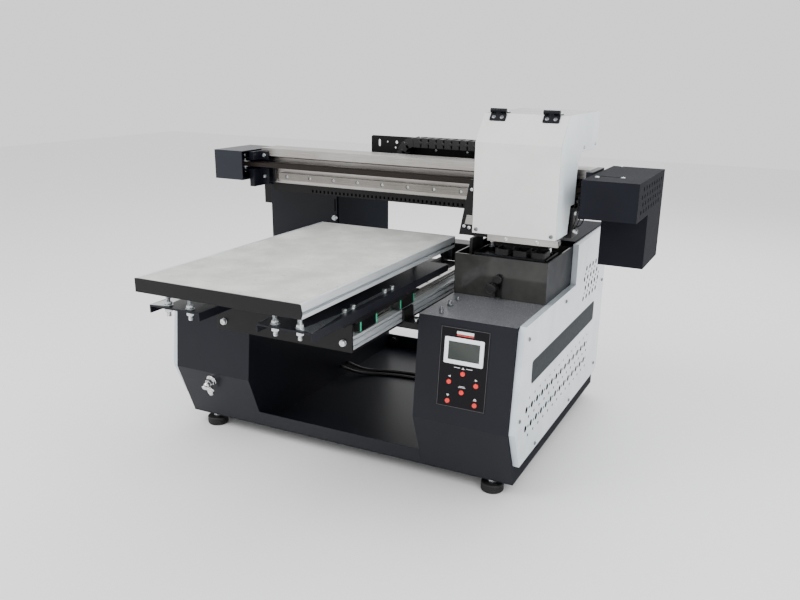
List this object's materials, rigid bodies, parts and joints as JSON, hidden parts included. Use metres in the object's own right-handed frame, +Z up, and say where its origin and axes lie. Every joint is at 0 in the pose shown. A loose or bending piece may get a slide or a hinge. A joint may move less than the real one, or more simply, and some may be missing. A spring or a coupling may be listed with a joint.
{
  "type": "flatbed uv printer",
  "caption": "Desktop flatbed UV printer: sheet chassis, sliding print table on linear rails, and a hooded print carriage that runs along a beam over it.",
  "frame": {"origin": "centre of the bounding box on the floor, under the feet", "axes": "+X to the operator's right along the beam, +Y to the rear along the table's travel, +Z up"},
  "size_m": [0.946, 0.953, 0.7106],
  "materials": {
    "blue_black_powder": "fine textured powder coat",
    "black_powder": "satin powder coat",
    "white_gloss": "gloss enamel",
    "grey_white": "satin enamel",
    "zinc": "zinc plated",
    "rail_steel": "ground",
    "dark_steel": "blackened",
    "aluminium": "brushed, clear anodised",
    "pale_aluminium": "natural anodised",
    "chrome": "polished",
    "rubber": "matte",
    "belt_rubber": "matte, toothed inside",
    "green_seal": "matte",
    "black_plastic": "matte",
    "smoked_plastic": "gloss",
    "grey_laminate": "matte sheet",
    "label_film": "satin film",
    "display_parts": "satin frame round a grey-green screen",
    "red_plastic": "gloss",
    "electronics": "sheet case and boards"
  },
  "bodies": {
    "chassis": {"base_pan": "blue_black_powder", "column_left": "blue_black_powder", "column_right": "blue_black_powder", "upright_left": "blue_black_powder", "upright_right": "blue_black_powder", "upright_front_panel": "blue_black_powder", "feet": "rubber", "side_cover_left": "white_gloss", "side_cover_right": "white_gloss", "screws": "zinc", "control_label": "label_film", "display": "display_parts", "drain_valve": "chrome", "electronics": "electronics", "pan_cables": "rubber", "deck_plate": "black_powder", "y_extrusions": "pale_aluminium", "y_rails": "rail_steel", "y_front_plate": "black_powder", "y_belt": "belt_rubber", "y_motor": "black_powder", "gantry_shelf": "black_powder", "beam": "aluminium", "x_rail": "rail_steel", "x_belts": "belt_rubber", "idler_bracket": "black_powder", "idler_box": "blue_black_powder", "motor_plate": "black_powder", "motor_box": "black_powder", "x_motor": "black_powder", "cable_trough": "black_powder", "chain_lower": "black_plastic", "capping_cover": "smoked_plastic", "cap_base": "black_plastic"},
    "table": {"table_panel": "grey_laminate", "table_profiles": "pale_aluminium", "table_channels": "blue_black_powder", "levelling_bolts": "zinc", "table_carriage": "black_powder", "y_blocks": "dark_steel", "y_seals": "green_seal"},
    "carriage": {"carriage_frame": "black_powder", "print_heads": "black_plastic", "hood_body": "grey_white", "chain_upper": "black_plastic"},
    "flap": {"hood_flap": "grey_white"},
    "cap_tray": {"cap_tray": "dark_steel"},
    "drain_lever": {"drain_handle": "chrome"},
    "belt_idler": {"idler_pulley": "aluminium"},
    "belt_drive": {"x_drive_pulley": "aluminium"},
    "motor_pinion": {"x_motor_pulley": "aluminium"},
    "table_idler": {"y_idler_pulley": "aluminium"},
    "table_drive": {"y_drive_pulley": "aluminium"},
    "chain_loop": {"chain_bend": "black_plastic"},
    "up_key": {"button_up": "red_plastic"},
    "left_key": {"button_left": "red_plastic"},
    "right_key": {"button_right": "red_plastic"},
    "feed_key": {"button_feed": "red_plastic"},
    "out_key": {"button_out": "red_plastic"},
    "enter_key": {"button_enter": "red_plastic"}
  },
  "joints": [
    {"name": "table_slide", "type": "slide", "parent": "chassis", "child": "table", "axis": [0, 1, 0], "range_m": [0, 0.46]},
    {"name": "carriage_slide", "type": "slide", "parent": "chassis", "child": "carriage", "axis": [1, 0, 0], "range_m": [-0.53, 0], "deforming": ["chain_upper"]},
    {"name": "hood_flap_hinge", "type": "hinge", "parent": "carriage", "child": "flap", "pos_m": [0.261, -0.0185, 0.7066], "axis": [-1, 0, 0], "range_deg": [0, 100]},
    {"name": "cap_lift", "type": "slide", "parent": "chassis", "child": "cap_tray", "axis": [0, 0, 1], "range_m": [0, 0.012]},
    {"name": "drain_turn", "type": "hinge", "parent": "chassis", "child": "drain_lever", "pos_m": [-0.365, -0.15375, 0.132], "axis": [0, -0.9363, -0.3511], "range_deg": [0, 90]},
    {"name": "idler_spin", "type": "hinge", "parent": "chassis", "child": "belt_idler", "pos_m": [-0.425, 0.0745, 0.57], "axis": [0, 0, 1], "range_deg": [-2600, 2600]},
    {"name": "drive_spin", "type": "hinge", "parent": "chassis", "child": "belt_drive", "pos_m": [0.397, 0.0745, 0.57], "axis": [0, 0, 1], "range_deg": [-2600, 2600]},
    {"name": "pinion_spin", "type": "hinge", "parent": "chassis", "child": "motor_pinion", "pos_m": [0.424, 0.1365, 0.58], "axis": [0, 0, 1], "range_deg": [-6500, 6500]},
    {"name": "table_idler_spin", "type": "hinge", "parent": "chassis", "child": "table_idler", "pos_m": [-0.073, -0.2655, 0.335], "axis": [1, 0, 0], "range_deg": [-2300, 2300]},
    {"name": "table_drive_spin", "type": "hinge", "parent": "chassis", "child": "table_drive", "pos_m": [-0.073, 0.4115, 0.335], "axis": [1, 0, 0], "range_deg": [-2300, 2300]},
    {"name": "chain_loop_slide", "type": "slide", "parent": "chassis", "child": "chain_loop", "axis": [1, 0, 0], "range_m": [-0.265, 0], "deforming": ["chain_lower"]},
    {"name": "up_key_press", "type": "slide", "parent": "chassis", "child": "up_key", "axis": [0, 0.9944, -0.1055], "range_m": [0, 0.0012], "stiffness_N_per_m": 600, "springref_m": -0.0005},
    {"name": "left_key_press", "type": "slide", "parent": "chassis", "child": "left_key", "axis": [0, 0.9944, -0.1055], "range_m": [0, 0.0012], "stiffness_N_per_m": 600, "springref_m": -0.0005},
    {"name": "right_key_press", "type": "slide", "parent": "chassis", "child": "right_key", "axis": [0, 0.9944, -0.1055], "range_m": [0, 0.0012], "stiffness_N_per_m": 600, "springref_m": -0.0005},
    {"name": "feed_key_press", "type": "slide", "parent": "chassis", "child": "feed_key", "axis": [0, 0.9944, -0.1055], "range_m": [0, 0.0012], "stiffness_N_per_m": 600, "springref_m": -0.0005},
    {"name": "out_key_press", "type": "slide", "parent": "chassis", "child": "out_key", "axis": [0, 0.9944, -0.1055], "range_m": [0, 0.0012], "stiffness_N_per_m": 600, "springref_m": -0.0005},
    {"name": "enter_key_press", "type": "slide", "parent": "chassis", "child": "enter_key", "axis": [0, 0.9944, -0.1055], "range_m": [0, 0.0012], "stiffness_N_per_m": 600, "springref_m": -0.0005}
  ],
  "couplings": [
    {"joint": "idler_spin", "follows": "carriage_slide", "rad_per_m": 76.336},
    {"joint": "drive_spin", "follows": "carriage_slide", "rad_per_m": 76.336},
    {"joint": "pinion_spin", "follows": "carriage_slide", "rad_per_m": 190.84},
    {"joint": "table_idler_spin", "follows": "table_slide", "rad_per_m": -76.336},
    {"joint": "table_drive_spin", "follows": "table_slide", "rad_per_m": -76.336},
    {"joint": "chain_loop_slide", "follows": "carriage_slide", "ratio": 0.5}
  ]
}
